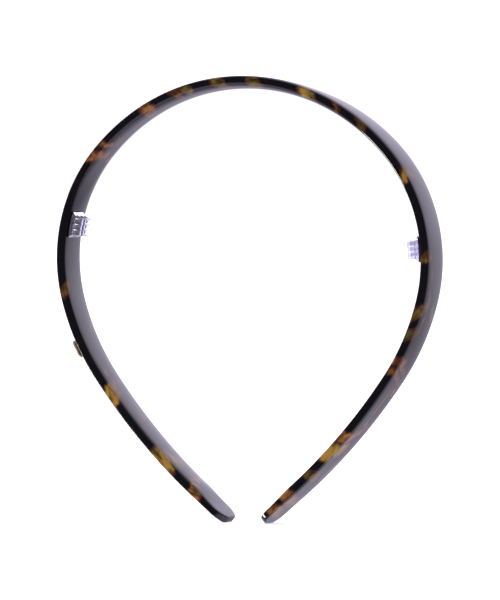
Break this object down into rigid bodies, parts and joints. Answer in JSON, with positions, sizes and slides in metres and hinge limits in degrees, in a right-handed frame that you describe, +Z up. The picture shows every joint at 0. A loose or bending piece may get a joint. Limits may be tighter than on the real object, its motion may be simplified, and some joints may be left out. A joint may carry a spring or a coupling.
{
  "type": "headband",
  "caption": "Open omega-shaped tortoiseshell acetate headband with rounded tips, a clear grip comb inside each arm and a plain metal badge outside one arm.",
  "frame": {"origin": "centre of the bounding box's bottom face: midway between the arms and between the band's two edges, level with the lowest point of the tips", "axes": "+Z up through the top of the crown, X from arm to arm with the badge on the -X arm, Y across the band's width, with the front edge at -Y"},
  "size_m": [0.1366, 0.0124, 0.1484],
  "materials": {
    "tortoiseshell_acetate": "polished, near black with amber, gold and olive blotches",
    "clear_plastic": "clear, glossy",
    "adhesive": "clear, cured",
    "champagne_metal": "polished champagne gold plate"
  },
  "bodies": {
    "root": {"band": "tortoiseshell_acetate", "left_comb": "clear_plastic", "left_comb_bond": "adhesive", "right_comb": "clear_plastic", "right_comb_bond": "adhesive", "badge": "champagne_metal", "badge_post_upper": "champagne_metal", "badge_post_lower": "champagne_metal"}
  },
  "joints": []
}
